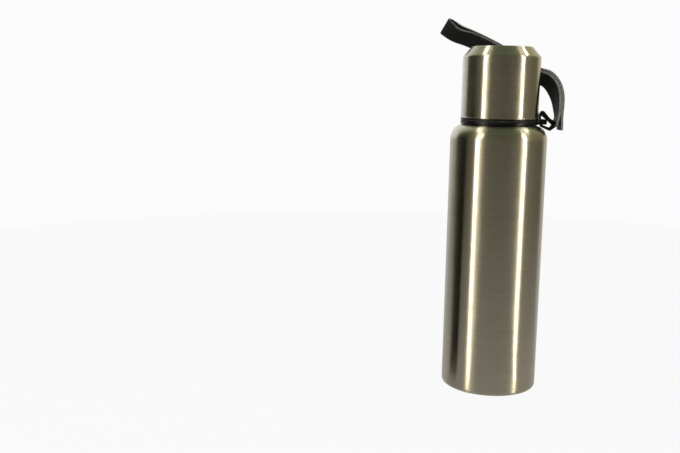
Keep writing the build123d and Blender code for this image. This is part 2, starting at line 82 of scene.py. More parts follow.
def finishMaterial(material, shader):
    addNode(material.node_tree, "ShaderNodeOutputMaterial", {"Surface": shader.outputs[0]})
    return material


# The two bounds of a range on its "From" or its "To" side
def ends(side, pair):
    return {side + " Min": pair[0], side + " Max": pair[1]}


# Camera: its place in millimetres and its angles in radians come from a perspective fit to the flask's
# outlines and ellipses in the photograph
cameraSettings = {
    "place": (-136.52, -760.29, 262.22),
    "pitchDown": 0.1589,
    "roll": 0.0167,
    "focalPixels": 869.66,
    "photoWidth": 680,
    "sensorWidth": 36.0,
    "clip": (0.01, 30.0),
}


# The camera looks along +Y, then pitches down, then rolls about its own line of sight
def makeCamera(s):
    data = bpy.data.cameras.new("photoCamera")
    data.sensor_fit = "HORIZONTAL"
    data.sensor_width = s["sensorWidth"]
    data.lens = s["sensorWidth"] * s["focalPixels"] / s["photoWidth"]
    data.clip_start, data.clip_end = s["clip"]
    camera = bpy.data.objects.new("photoCamera", data)
    bpy.context.scene.collection.objects.link(camera)
    right = Vector((1, 0, 0))
    ahead = Vector((0, math.cos(s["pitchDown"]), -math.sin(s["pitchDown"])))
    up = right.cross(ahead)
    c, d = math.cos(s["roll"]), math.sin(s["roll"])
    axes = Matrix((c * right + d * up, c * up - d * right, -ahead)).transposed().to_4x4()
    camera.matrix_world = Matrix.Translation(Vector(s["place"]) * mm) @ axes
    bpy.context.scene.camera = camera


makeCamera(cameraSettings)
print("camera placed")

# Studio: a white sweep, strip boxes and raised boxes that only steel and gloss show, a front box and a top
# box that light the rest, dark and pale cards all round, a black flag, and glowing floor wedges that paint
# the strips' reflections in the table.
# Angles are in degrees round the flask, counted from the camera, with the picture's left side negative.
# Lengths are in metres. The ceiling's and the zenith's bounds are sines of the height angle.
studioSettings = {
    "floorColour": "#F6F6F6",
    "floorSize": 6.0,
    "floorFade": (0.45, 1.1),
    "floorGlow": 0.95,
    "floorInSteel": (0.45, 0.02),
    "floorInSteelReach": (0.0, 1.2),
    "floorInSteelTint": (1.0, 0.98, 0.95, 1.0),
    "floorBehind": 0.5,
    "floorBehindFrom": (0.58, 0.80),
    "backgroundLevel": 0.97,
    "fillLevel": 0.45,
    "cameraAzimuth": math.degrees(math.atan2(cameraSettings["place"][1], cameraSettings["place"][0])),
    # Each shade of card is a hue times a share
    "shades": {
        "dark": ("#16150F", 1.0),
        "dim": ("#777260", 0.62),
        "mid": ("#777260", 1.0),
        "bright": ("#777260", 1.35),
        "near": ("#777260", 1.5),
        "brighter": ("#777260", 1.9),
        "pale": ("#777260", 3.4),
        "soft": ("#FFFFFF", 0.45),
        "white": ("#FFFFFF", 1.0),
        "green": ("#646F5E", 1.0),
        "paleGreen": ("#D2E2B6", 1.0),
    },
    "cards": ((-180, "soft"), (-158, "white"), (-121, "white"), (-115, "dark"), (-84, "dark"), (-70, "mid"),
              (-44, "near"), (-25, "mid"), (5, "dim"), (18, "dim"), (42, "mid"), (72, "brighter"),
              (90, "brighter"), (104, "bright"), (128, "bright"), (140, "pale"), (160, "pale"),
              (180, "soft")),
    "ceiling": ((-180, "paleGreen"), (-118, "paleGreen"), (-104, "green"), (110, "green"),
                (126, "paleGreen"), (180, "paleGreen")),
    "ceilingFrom": (0.35, 0.9),
    "zenithFrom": (0.86, 0.96),
    "lampHue": "#FFF9EA",
    "boxHeight": 1.7,
    "boxMiddle": 0.62,
    "boxDistance": 1.35,
    "boxes": (
        {"name": "leftBox", "angle": -46.5, "width": 0.15, "radiance": 12.0, "lean": -8.0},
        {"name": "rightBox", "angle": 67.0, "width": 0.13, "radiance": 13.0, "lean": -3.0}),
    "overheads": (
        {"name": "leftOverhead", "angle": -103.0, "raised": 62.0, "width": 0.44, "height": 0.13},
        {"name": "rightOverhead", "angle": 123.0, "raised": 49.0, "width": 0.42, "height": 0.13}),
    "overheadMiddle": 0.29,
    "overheadRadiance": 10.0,
    "frontBox": {"angle": -14.0, "raised": 20.0, "width": 1.2, "distance": 1.7, "aim": 0.15, "radiance": 2.9},
    "topBox": {"behind": 0.1, "height": 1.5, "width": 1.1, "radiance": 0.15},
    "flag": {"angle": -71.5, "distance": 0.075, "width": 0.0285, "height": 0.225},
    # Glowing floor wedges that paint the strip boxes' reflections in the table, seen only in gloss
    "glints": (
        {"name": "leftGlint", "near": 0.0785, "nearAngle": -34.0, "far": 1.277, "farAngle": -50.5},
        {"name": "rightGlint", "near": 0.0764, "nearAngle": 53.3, "far": 1.275, "farAngle": 61.4}),
    "glintWidths": (0.005, 0.085),
    "glintLift": 0.001,
    "glintLevel": 6.5,
}


# The direction at an angle from the camera, seen from above, and at a height angle
def studioDirection(angle, raised=0.0):
    turned = math.radians(studioSettings["cameraAzimuth"] + angle)
    flat = math.cos(math.radians(raised))
    return Vector((flat * math.cos(turned), flat * math.sin(turned), math.sin(math.radians(raised))))


# A flat card or floor from its four corners
def makeSheet(name, corners, material):
    mesh = bpy.data.meshes.new(name)
    mesh.from_pydata(corners, [], [(0, 1, 2, 3)])
    sheet = bpy.data.objects.new(name, mesh)
    bpy.context.scene.collection.objects.link(sheet)
    mesh.materials.append(material)
    return sheet


# The floor is matt white card. Far from the flask it fades to the backdrop's white, so no horizon shows.
# In gloss it glows, a painted reflection that dims with distance and is pale again behind the flask.
def makeFloor(s):
    material, tree = newMaterial("whiteCard")
    coord = addNode(tree, "ShaderNodeTexCoord")
    away = addNode(tree, "ShaderNodeVectorMath", {0: coord.outputs["Object"]}, operation="LENGTH")
    reach = addNode(tree, "ShaderNodeMapRange", {
        "Value": away.outputs["Value"], **ends("From", s["floorFade"])})
    card = addNode(tree, "ShaderNodeBsdfDiffuse", {"Color": hexToLinear(s["floorColour"])})
    level = s["backgroundLevel"]
    white = addNode(tree, "ShaderNodeEmission", {"Color": (level, level, level, 1), "Strength": 1.0})
    light = addNode(tree, "ShaderNodeLightPath")
    glow = addNode(tree, "ShaderNodeMath", {0: reach.outputs["Result"], 1: s["floorGlow"]},
                   operation="MAXIMUM")
    seen = addNode(tree, "ShaderNodeMath", {0: glow.outputs[0], 1: light.outputs["Is Camera Ray"]},
                   operation="MULTIPLY")
    faded = addNode(tree, "ShaderNodeMixShader", {
        0: seen.outputs[0], 1: card.outputs[0], 2: white.outputs[0]})
    near = addNode(tree, "ShaderNodeMapRange", {
        "Value": away.outputs["Value"], **ends("From", s["floorInSteelReach"]),
        **ends("To", s["floorInSteel"])})
    direction = addNode(tree, "ShaderNodeVectorMath", {0: coord.outputs["Object"]}, operation="NORMALIZE")
    towards = addNode(tree, "ShaderNodeVectorMath", {
        0: direction.outputs[0], 1: -studioDirection(0)}, operation="DOT_PRODUCT")
    behind = addNode(tree, "ShaderNodeMapRange", {
        "Value": towards.outputs["Value"], **ends("From", s["floorBehindFrom"])})
    # Painted reflection: the glow that steel sees in the floor
    mirrorLevel = addNode(tree, "ShaderNodeMix", {
        0: behind.outputs["Result"], 2: near.outputs["Result"], 3: s["floorBehind"]}, data_type="FLOAT")
    mirrored = addNode(tree, "ShaderNodeEmission", {
        "Color": s["floorInSteelTint"], "Strength": mirrorLevel.outputs[0]})
    whole = addNode(tree, "ShaderNodeMixShader", {
        0: light.outputs["Is Glossy Ray"], 1: faded.outputs[0], 2: mirrored.outputs[0]})
    finishMaterial(material, whole)
    size = s["floorSize"]
    makeSheet("floor", [(-size, -size, 0), (size, -size, 0), (size, size, 0), (-size, size, 0)], material)


# The room round the flask. The camera sees a white backdrop. Steel sees dark cards in front and at the sides
# and white behind, by the angle from the camera, and a green ceiling. Matt surfaces get an even fill.
def makeRoom(s):
    world = bpy.data.worlds.new("studio")
    bpy.context.scene.world = world
    world.use_nodes = True
    tree = world.node_tree
    tree.nodes.clear()
    coord = addNode(tree, "ShaderNodeTexCoord")
    turned = addNode(tree, "ShaderNodeVectorRotate", {
        "Vector": coord.outputs["Generated"], "Angle": math.radians(-s["cameraAzimuth"])},
        rotation_type="Z_AXIS")
    parts = addNode(tree, "ShaderNodeSeparateXYZ", {0: turned.outputs[0]})
    angle = addNode(tree, "ShaderNodeMath", {0: parts.outputs["Y"], 1: parts.outputs["X"]},
                    operation="ARCTAN2")
    around = addNode(tree, "ShaderNodeMapRange", {
        "Value": angle.outputs[0], **ends("From", (-math.pi, math.pi))})
    shades = {name: [share * c for c in hexToLinear(hue)[:3]] + [1.0]
              for name, (hue, share) in s["shades"].items()}
    rings = []
    for stops in (s["cards"], s["ceiling"]):
        ring = addNode(tree, "ShaderNodeValToRGB", {0: around.outputs[0]})
        elements = ring.color_ramp.elements
        while len(elements) < len(stops):
            elements.new(1.0)
        for element, (place, shade) in zip(elements, stops):
            element.position = (place + 180) / 360
            element.color = shades[shade]
        rings.append(ring.outputs[0])
    zenith, height = [
        addNode(tree, "ShaderNodeMapRange", {"Value": parts.outputs["Z"], **ends("From", bounds)}).outputs[0]
        for bounds in (s["zenithFrom"], s["ceilingFrom"])]
    roof = addNode(tree, "ShaderNodeMix", {0: zenith, 6: rings[1], 7: shades["green"]}, data_type="RGBA")
    colour = addNode(tree, "ShaderNodeMix", {0: height, 6: rings[0], 7: roof.outputs[2]}, data_type="RGBA")
    light = addNode(tree, "ShaderNodeLightPath")
    reflected = addNode(tree, "ShaderNodeBackground", {"Color": colour.outputs[2], "Strength": 1.0})
    fill = addNode(tree, "ShaderNodeBackground", {"Color": (1, 1, 1, 1), "Strength": s["fillLevel"]})
    level = s["backgroundLevel"]
    backdrop = addNode(tree, "ShaderNodeBackground", {"Color": (level, level, level, 1), "Strength": 1.0})
    lit = addNode(tree, "ShaderNodeMixShader", {
        0: light.outputs["Is Glossy Ray"], 1: fill.outputs[0], 2: reflected.outputs[0]})
    whole = addNode(tree, "ShaderNodeMixShader", {
        0: light.outputs["Is Camera Ray"], 1: lit.outputs[0], 2: backdrop.outputs[0]})
    addNode(tree, "ShaderNodeOutputWorld", {"Surface": whole.outputs[0]})


# A card of one even colour that only steel and gloss show
def makeMirroredCard(name, corners, finish, hue, strength):
    material, tree = newMaterial(finish)
    glow = addNode(tree, "ShaderNodeEmission", {"Color": hexToLinear(hue), "Strength": strength})
    card = makeSheet(name, corners, finishMaterial(material, glow))
    card.visible_camera = False
    card.visible_diffuse = False
    card.visible_shadow = False


# A black flag, as photographers use: a matt panel on the floor beside the flask. It gives the dark line along
# one side of the body, and ends under the cup.
def makeFlag(s):
    flag = s["flag"]
    ahead = studioDirection(flag["angle"])
    across = Vector((-ahead.y, ahead.x, 0)) * flag["width"] / 2
    middle = ahead * flag["distance"]
    up = Vector((0, 0, flag["height"]))
    corners = [middle - across, middle + across, middle + across + up, middle - across + up]
    makeMirroredCard("blackFlag", corners, "blackVelvet", s["shades"]["dark"][0], 1.0)


# Painted reflections: a glowing wedge per strip box, seen only in gloss, widening away from the flask
def makeGlints(s):
    lift = Vector((0, 0, s["glintLift"]))
    for glint in s["glints"]:
        start = studioDirection(glint["nearAngle"]) * glint["near"]
        end = studioDirection(glint["farAngle"]) * glint["far"]
        across = (end - start).normalized().cross(Vector((0, 0, 1)))
        narrow, wide = [across * width / 2 for width in s["glintWidths"]]
        corners = [start - narrow + lift, start + narrow + lift, end + wide + lift, end - wide + lift]
        makeMirroredCard(glint["name"], corners, glint["name"], s["lampHue"], s["glintLevel"])


# A lamp that looks at a point, leaning by an angle in its own plane. Its power is its radiance times pi times
# its area. It shows either in steel and gloss, or as light on the rest.
def makeBox(name, place, target, width, height, radiance, inSteel, lean=0.0):
    data = bpy.data.lights.new(name, "AREA")
    data.shape = "RECTANGLE"
    data.size = width
    data.size_y = height
    data.energy = radiance * math.pi * width * height
    data.color = hexToLinear(studioSettings["lampHue"])[:3]
    lamp = bpy.data.objects.new(name, data)
    bpy.context.scene.collection.objects.link(lamp)
    lamp.location = place
    facing = (Vector(target) - Vector(place)).to_track_quat("-Z", "Y").to_matrix()
    lamp.rotation_euler = (facing @ Matrix.Rotation(math.radians(lean), 3, "Z")).to_euler()
    lamp.visible_camera = False
    lamp.visible_glossy = inSteel
    lamp.visible_diffuse = not inSteel


def makeLamps(s):
    middle = Vector((0, 0, s["boxMiddle"]))
    for box in s["boxes"]:
        place = studioDirection(box["angle"]) * s["boxDistance"] + middle
        makeBox(box["name"], place, middle, box["width"], s["boxHeight"], box["radiance"], True, box["lean"])
    middle = Vector((0, 0, s["overheadMiddle"]))
    for box in s["overheads"]:
        place = middle + studioDirection(box["angle"], box["raised"]) * s["boxDistance"]
        makeBox(box["name"], place, middle, box["width"], box["height"], s["overheadRadiance"], True)
    front, top = s["frontBox"], s["topBox"]
    makeBox("frontBox", studioDirection(front["angle"], front["raised"]) * front["distance"],
            (0, 0, front["aim"]), front["width"], front["width"], front["radiance"], False)
    makeBox("topBox", (0, top["behind"], top["height"]), (0, 0, 0), top["width"], top["width"],
            top["radiance"], False)


makeFloor(studioSettings)
makeRoom(studioSettings)
makeLamps(studioSettings)
makeFlag(studioSettings)
makeGlints(studioSettings)
bpy.context.scene.view_settings.view_transform = "Standard"
print("studio built")


# What a turned part needs from its object coordinates: the way round the axis, which is up crossed with the
# place, and a brushing coordinate that runs along the outline, z less the distance from the axis
def turnedCoordinates(tree):
    coord = addNode(tree, "ShaderNodeTexCoord").outputs["Object"]
    sideways = addNode(tree, "ShaderNodeVectorMath", {0: (0, 0, 1), 1: coord},
                       operation="CROSS_PRODUCT").outputs[0]
    away = addNode(tree, "ShaderNodeVectorMath", {0: sideways}, operation="LENGTH").outputs["Value"]
    parts = addNode(tree, "ShaderNodeSeparateXYZ", {0: coord})
    along = addNode(tree, "ShaderNodeMath", {0: parts.outputs["Z"], 1: away}, operation="SUBTRACT").outputs[0]
    tangent = addNode(tree, "ShaderNodeVectorMath", {0: sideways}, operation="NORMALIZE").outputs[0]
    return parts, along, tangent


# Noise drawn out round the axis: x and y run at the length of a grain and the outline at its width
def brushedNoise(tree, parts, along, length, width, detail):
    spots = addNode(tree, "ShaderNodeCombineXYZ", {
        i: addNode(tree, "ShaderNodeMath", {0: value, 1: 1 / (size * mm)}, operation="MULTIPLY").outputs[0]
        for i, (value, size) in enumerate(
            ((parts.outputs["X"], length), (parts.outputs["Y"], length), (along, width)))})
    return addNode(tree, "ShaderNodeTexNoise", {
        "Vector": spots.outputs[0], "Scale": 1.0, "Detail": detail, "Roughness": 0.6}).outputs[0]


# Both kinds of steel turn their spread of light by a quarter turn, from round the axis to up and down
quarterTurn = 0.25
brushedSettings = {
    "colour": "#CDC5AE",
    "darkShare": 0.68,
    "grainLength": 26.0,
    "grainWidth": 1.0,
    "grainDepth": 0.008,
    "bandLength": 70.0,
    "bandWidth": 6.0,
    "bandLevels": (0.3, 0.7),
    "roughness": (0.28, 0.33),
    "coatWeight": 0.8,
    "coatRoughness": 0.10,
    "coatIor": 1.5,
}


# Brushed 304 stainless steel under a clear warm lacquer. The belt runs round the tube, so light spreads up
# and down and stays narrow across, and the lacquer adds a sharp pale edge where the wall turns away.
# The real scratches are 0.05 to 0.2 mm apart; they are drawn 1 mm wide so that they show.
def brushedStainless(s):
    material, tree = newMaterial("brushedStainlessLacquered")
    parts, along, tangent = turnedCoordinates(tree)
    grain = brushedNoise(tree, parts, along, s["grainLength"], s["grainWidth"], 3.0)
    band = brushedNoise(tree, parts, along, s["bandLength"], s["bandWidth"], 2.0)
    colour = hexToLinear(s["colour"])
    darker = [c * s["darkShare"] for c in colour[:3]] + [1.0]
    mixed = addNode(tree, "ShaderNodeMix", {0: grain, 6: darker, 7: colour}, data_type="RGBA").outputs[2]
    rough = addNode(tree, "ShaderNodeMapRange", {
        "Value": band, **ends("From", s["bandLevels"]), **ends("To", s["roughness"])}).outputs[0]
    bump = addNode(tree, "ShaderNodeBump", {
        "Height": grain, "Distance": s["grainDepth"] * mm, "Strength": 1.0}).outputs[0]
    shader = addNode(tree, "ShaderNodeBsdfPrincipled", {
        "Base Color": mixed, "Metallic": 1.0, "Roughness": rough, "Normal": bump, "Tangent": tangent,
        "Anisotropic": 1.0, "Anisotropic Rotation": quarterTurn,
        "Coat Weight": s["coatWeight"], "Coat Roughness": s["coatRoughness"], "Coat IOR": s["coatIor"]})
    return finishMaterial(material, shader)


satinSettings = {
    "linerSteel": {"colour": "#C9C7C2", "roughness": 0.30, "anisotropy": 0.6, "length": 14.0, "width": 0.5},
    "baseSteel": {"colour": "#BDBBB4", "roughness": 0.34, "anisotropy": 0.5, "length": 10.0, "width": 0.6},
}
satinSpread = (-0.05, 0.08)
satinDepth = 0.004


# Satin stainless sheet, spun and electropolished: grey, with faint rings from the spinning tool, 0.5 mm wide
def satinStainless(name, s):
    material, tree = newMaterial(name)
    parts, along, tangent = turnedCoordinates(tree)
    grain = brushedNoise(tree, parts, along, s["length"], s["width"], 2.0)
    levels = [s["roughness"] + spread for spread in satinSpread]
    rough = addNode(tree, "ShaderNodeMapRange", {"Value": grain, **ends("To", levels)}).outputs[0]
    bump = addNode(tree, "ShaderNodeBump", {"Height": grain, "Distance": satinDepth * mm}).outputs[0]
    shader = addNode(tree, "ShaderNodeBsdfPrincipled", {
        "Base Color": hexToLinear(s["colour"]), "Metallic": 1.0, "Roughness": rough, "Normal": bump,
        "Tangent": tangent, "Anisotropic": s["anisotropy"], "Anisotropic Rotation": quarterTurn})
    return finishMaterial(material, shader)


mouldedSettings = {
    "collarAbs": {"colour": "#080807", "roughness": 0.30, "grain": 0.35, "depth": 0.020},
    "linkAcetal": {"colour": "#080808", "roughness": 0.28, "grain": 0.30, "depth": 0.015},
    "cupPolypropylene": {"colour": "#090908", "roughness": 0.34, "grain": 0.40, "depth": 0.020},
    "stopperPolypropylene": {"colour": "#1B1B1A", "roughness": 0.42, "grain": 0.45, "depth": 0.025},
    "coverPolypropylene": {"colour": "#2B2B2A", "roughness": 0.45, "grain": 0.45, "depth": 0.025},
    "buttonPolypropylene": {"colour": "#8E8E8A", "roughness": 0.40, "grain": 0.45, "depth": 0.020},
}
mouldedShared = {
    "glossPatch": 9.0,
    "glossLevels": (0.3, 0.7),
    "glossSpread": (-0.05, 0.07),
    "paleShare": 1.35,
    "paleLift": 0.001,
    "grainStrength": 0.6,
    "specular": 0.3,
}


# Moulded plastic from a finely sparked tool: an even fine grain, with a faint uneven gloss from the moulding.
# The spark grain is 0.05 mm; it is drawn 0.3 to 0.45 mm wide so that it shows.
def mouldedPlastic(name, s, shared):
    material, tree = newMaterial(name)
    coord = addNode(tree, "ShaderNodeTexCoord").outputs["Object"]
    fine, broad = [addNode(tree, "ShaderNodeTexNoise", {
        "Vector": coord, "Scale": 1 / (size * mm), "Detail": 2.0}).outputs[0]
        for size in (s["grain"], shared["glossPatch"])]
    levels = [s["roughness"] + spread for spread in shared["glossSpread"]]
    rough = addNode(tree, "ShaderNodeMapRange", {
        "Value": broad, **ends("From", shared["glossLevels"]), **ends("To", levels)}).outputs[0]
    base = hexToLinear(s["colour"])
    paler = [c * shared["paleShare"] + shared["paleLift"] for c in base[:3]] + [1.0]
    mixed = addNode(tree, "ShaderNodeMix", {0: fine, 6: base, 7: paler}, data_type="RGBA").outputs[2]
    bump = addNode(tree, "ShaderNodeBump", {
        "Height": fine, "Distance": s["depth"] * mm, "Strength": shared["grainStrength"]}).outputs[0]
    shader = addNode(tree, "ShaderNodeBsdfPrincipled", {
        "Base Color": mixed, "Roughness": rough, "Specular IOR Level": shared["specular"], "Normal": bump})
    return finishMaterial(material, shader)


# Sizes and depths of the patterns are in millimetres
insideSettings = {
    "siliconeHues": ("#B4B2AA", "#C8C6BE"),
    "siliconeDust": 0.8,
    "siliconeDepth": 0.02,
    "siliconeIor": 1.41,
    "siliconeGlow": 2.0,
    "foamHues": ("#E9E4D2", "#CFC8B0"),
    "foamCell": 0.9,
    "foamDepth": 0.15,
    "foilHue": "#D9DADB",
    "foilCrumple": 7.0,
    "foilDepth": 0.3,
    "getterHues": ("#55565A", "#8A8B8E"),
    "getterGrain": 0.25,
    "getterDepth": 0.05,
    "wireHue": "#C6C5C2",
    "wireLine": 0.3,
    "wireRoughness": (0.18, 0.34),
}


# Moulded silicone rubber: pale, soft and matt, with a little light through it and specks of dust under 1 mm
def siliconeRubber(s):
    material, tree = newMaterial("siliconeRubber")
    coord = addNode(tree, "ShaderNodeTexCoord").outputs["Object"]
    dust = addNode(tree, "ShaderNodeTexNoise", {
        "Vector": coord, "Scale": 1 / (s["siliconeDust"] * mm), "Detail": 3.0}).outputs[0]
    dark, pale = [hexToLinear(hue) for hue in s["siliconeHues"]]
    mixed = addNode(tree, "ShaderNodeMix", {0: dust, 6: dark, 7: pale}, data_type="RGBA").outputs[2]
    bump = addNode(tree, "ShaderNodeBump", {"Height": dust, "Distance": s["siliconeDepth"] * mm}).outputs[0]
    shader = addNode(tree, "ShaderNodeBsdfPrincipled", {
        "Base Color": mixed, "Roughness": 0.62, "IOR": s["siliconeIor"], "Normal": bump,
        "Subsurface Weight": 0.2, "Subsurface Scale": s["siliconeGlow"] * mm,
        "Subsurface Radius": (1.0, 0.95, 0.9)})
    return finishMaterial(material, shader)


# Closed-cell polyurethane foam: off-white with small round cells. Real cells are 0.2 to 0.4 mm; they are
# drawn 0.9 mm wide so that they show.
def polyurethaneFoam(s):
    material, tree = newMaterial("polyurethaneFoam")
    coord = addNode(tree, "ShaderNodeTexCoord").outputs["Object"]
    cells = addNode(tree, "ShaderNodeTexVoronoi", {
        "Vector": coord, "Scale": 1 / (s["foamCell"] * mm)}).outputs[0]
    skin, hollow = [hexToLinear(hue) for hue in s["foamHues"]]
    mixed = addNode(tree, "ShaderNodeMix", {0: cells, 6: skin, 7: hollow}, data_type="RGBA").outputs[2]
    bump = addNode(tree, "ShaderNodeBump", {"Height": cells, "Distance": s["foamDepth"] * mm}).outputs[0]
    shader = addNode(tree, "ShaderNodeBsdfPrincipled", {
        "Base Color": mixed, "Roughness": 0.85, "Normal": bump})
    return finishMaterial(material, shader)


# Bright aluminium foil: smooth rolled metal with crumples about 7 mm apart from wrapping
def aluminiumFoil(s):
    material, tree = newMaterial("aluminiumFoil")
    coord = addNode(tree, "ShaderNodeTexCoord").outputs["Object"]
    crumple = addNode(tree, "ShaderNodeTexVoronoi", {
        "Vector": coord, "Scale": 1 / (s["foilCrumple"] * mm)}).outputs[0]
    bump = addNode(tree, "ShaderNodeBump", {"Height": crumple, "Distance": s["foilDepth"] * mm}).outputs[0]
    shader = addNode(tree, "ShaderNodeBsdfPrincipled", {
        "Base Color": hexToLinear(s["foilHue"]), "Metallic": 1.0, "Roughness": 0.22, "Normal": bump})
    return finishMaterial(material, shader)


# Pressed and sintered metal powder: dark grey, dull, and grainy at a quarter of a millimetre
def sinteredGetter(s):
    material, tree = newMaterial("sinteredZirconium")
    coord = addNode(tree, "ShaderNodeTexCoord").outputs["Object"]
    grains = addNode(tree, "ShaderNodeTexNoise", {
        "Vector": coord, "Scale": 1 / (s["getterGrain"] * mm), "Detail": 3.0}).outputs[0]
    dark, pale = [hexToLinear(hue) for hue in s["getterHues"]]
    mixed = addNode(tree, "ShaderNodeMix", {0: grains, 6: dark, 7: pale}, data_type="RGBA").outputs[2]
    bump = addNode(tree, "ShaderNodeBump", {"Height": grains, "Distance": s["getterDepth"] * mm}).outputs[0]
    shader = addNode(tree, "ShaderNodeBsdfPrincipled", {
        "Base Color": mixed, "Metallic": 1.0, "Roughness": 0.6, "Normal": bump})
    return finishMaterial(material, shader)


# Drawn stainless spring wire: smooth, with fine marks of the die, drawn 0.3 mm wide so that they show
def springWire(s):
    material, tree = newMaterial("springSteelWire")
    coord = addNode(tree, "ShaderNodeTexCoord").outputs["Object"]
    lines = addNode(tree, "ShaderNodeTexNoise", {
        "Vector": coord, "Scale": 1 / (s["wireLine"] * mm), "Detail": 1.0}).outputs[0]
    rough = addNode(tree, "ShaderNodeMapRange", {"Value": lines, **ends("To", s["wireRoughness"])}).outputs[0]
    shader = addNode(tree, "ShaderNodeBsdfPrincipled", {
        "Base Color": hexToLinear(s["wireHue"]), "Metallic": 1.0, "Roughness": rough})
    return finishMaterial(material, shader)


leatherSettings = {
    "face": ("#0D0D0E", "#1A1A1B"),
    # The pressed lines' colour, paler than the face: a painted highlight
    "creaseAndHighlight": "#3A3937",
    "edge": ("#4E4D4A", "#8A8883"),
    "pebble": 0.9,
    "pebbleDepth": 0.08,
    "pebbleStrength": 0.7,
    "wearPatch": 6.0,
    "creaseInset": 1.3,
    "creaseWidth": 0.35,
    "creaseDepth": 3.0,
    "roughness": (0.50, 0.68),
    "specular": 0.14,
    "fibresPerMm": (0.35, 2.0),
    "fibreLevels": (0.32, 0.68),
    "fibreDepth": 0.15,
}


# The pressed lines are also painted paler: a painted highlight along them.
# Black split leather with a pressed pebble grain: satin, with a line pressed along both long edges.
# The piece's own UV map runs in millimetres, across the strip in u and along it in v.
# Real pebbles are 0.4 mm; they are drawn 0.9 mm wide so that they show.
def grainedLeather(s, width):
    material, tree = newMaterial("blackGrainedLeather")
    uv = addNode(tree, "ShaderNodeUVMap", uv_map="strip").outputs[0]
    parts = addNode(tree, "ShaderNodeSeparateXYZ", {0: uv})
    pebbles = addNode(tree, "ShaderNodeTexVoronoi", {"Vector": uv, "Scale": 1 / s["pebble"]}).outputs[0]
    wear = addNode(tree, "ShaderNodeTexNoise", {
        "Vector": uv, "Scale": 1 / s["wearPatch"], "Detail": 4.0}).outputs[0]
    offset = addNode(tree, "ShaderNodeMath", {0: parts.outputs["X"], 1: width / 2},
                     operation="SUBTRACT").outputs[0]
    fromMiddle = addNode(tree, "ShaderNodeMath", {0: offset}, operation="ABSOLUTE").outputs[0]
    pastCrease = addNode(tree, "ShaderNodeMath", {
        0: fromMiddle, 1: width / 2 - s["creaseInset"]}, operation="SUBTRACT").outputs[0]
    fromCrease = addNode(tree, "ShaderNodeMath", {0: pastCrease}, operation="ABSOLUTE").outputs[0]
    creaseAndHighlight = addNode(tree, "ShaderNodeMapRange", {
        "Value": fromCrease, **ends("From", (s["creaseWidth"], 0.0))},
        interpolation_type="SMOOTHSTEP").outputs[0]
    dark, pale = [hexToLinear(hue) for hue in s["face"]]
    face = addNode(tree, "ShaderNodeMix", {0: wear, 6: dark, 7: pale}, data_type="RGBA").outputs[2]
    # Painted highlight: the face turns paler along the pressed lines
    lined = addNode(tree, "ShaderNodeMix", {
        0: creaseAndHighlight, 6: face, 7: hexToLinear(s["creaseAndHighlight"])}, data_type="RGBA").outputs[2]
    pressed = addNode(tree, "ShaderNodeMath", {0: creaseAndHighlight, 1: -s["creaseDepth"]},
                      operation="MULTIPLY").outputs[0]
    height = addNode(tree, "ShaderNodeMath", {0: pebbles, 1: pressed}, operation="ADD").outputs[0]
    bump = addNode(tree, "ShaderNodeBump", {
        "Height": height, "Distance": s["pebbleDepth"] * mm, "Strength": s["pebbleStrength"]}).outputs[0]
    rough = addNode(tree, "ShaderNodeMapRange", {"Value": wear, **ends("To", s["roughness"])}).outputs[0]
    shader = addNode(tree, "ShaderNodeBsdfPrincipled", {
        "Base Color": lined, "Roughness": rough, "Specular IOR Level": s["specular"], "Normal": bump})
    return finishMaterial(material, shader)


# The cut edge of the leather, dyed grey and left raw: fibres that lie across the strip. Real fibres are
# under 0.1 mm apart; they are drawn 0.5 mm apart so that they show.
def cutLeatherEdge(s):
    material, tree = newMaterial("dyedCutLeather")
    uv = addNode(tree, "ShaderNodeUVMap", uv_map="strip").outputs[0]
    drawn = addNode(tree, "ShaderNodeMapping", {"Vector": uv, "Scale": (*s["fibresPerMm"], 1.0)}).outputs[0]
    fibres = addNode(tree, "ShaderNodeTexNoise", {"Vector": drawn, "Scale": 1.0, "Detail": 3.0}).outputs[0]
    contrast = addNode(tree, "ShaderNodeMapRange", {
        "Value": fibres, **ends("From", s["fibreLevels"])}).outputs[0]
    dark, pale = [hexToLinear(hue) for hue in s["edge"]]
    mixed = addNode(tree, "ShaderNodeMix", {0: contrast, 6: dark, 7: pale}, data_type="RGBA").outputs[2]
    bump = addNode(tree, "ShaderNodeBump", {"Height": fibres, "Distance": s["fibreDepth"] * mm}).outputs[0]
    shader = addNode(tree, "ShaderNodeBsdfPrincipled", {
        "Base Color": mixed, "Roughness": 0.6, "Normal": bump})
    return finishMaterial(material, shader)


steelFinish = brushedStainless(brushedSettings)
metals = {name: satinStainless(name, values) for name, values in satinSettings.items()}
plastics = {name: mouldedPlastic(name, values, mouldedShared) for name, values in mouldedSettings.items()}
silicone = siliconeRubber(insideSettings)
nodeFinishes = {
    "outer_shell": steelFinish,
    "cup_shell": steelFinish,
    "inner_liner": metals["linerSteel"],
    "base_plate": metals["baseSteel"],
    "vacuum_seal_disc": metals["baseSteel"],
    "getter_pill": sinteredGetter(insideSettings),
    "radiation_foil": aluminiumFoil(insideSettings),
    "strap_collar": plastics["collarAbs"],
    "link_loop": plastics["linkAcetal"],
    "cup_liner": plastics["cupPolypropylene"],
    "cup_seal_ring": silicone,
    "stopper_body": plastics["stopperPolypropylene"],
    "stopper_base": plastics["stopperPolypropylene"],
    "stem_guide": plastics["stopperPolypropylene"],
    "stopper_cover": plastics["coverPolypropylene"],
    "stopper_foam": polyurethaneFoam(insideSettings),
    "stopper_gasket": silicone,
    "valve_seal": silicone,
    "valve_disc": plastics["buttonPolypropylene"],
    "valve_stem": plastics["buttonPolypropylene"],
    "pour_button": plastics["buttonPolypropylene"],
}
for name, material in nodeFinishes.items():
    nodes[name].data.materials.clear()
    nodes[name].data.materials.append(material)
print("finishes made:", len(bpy.data.materials))


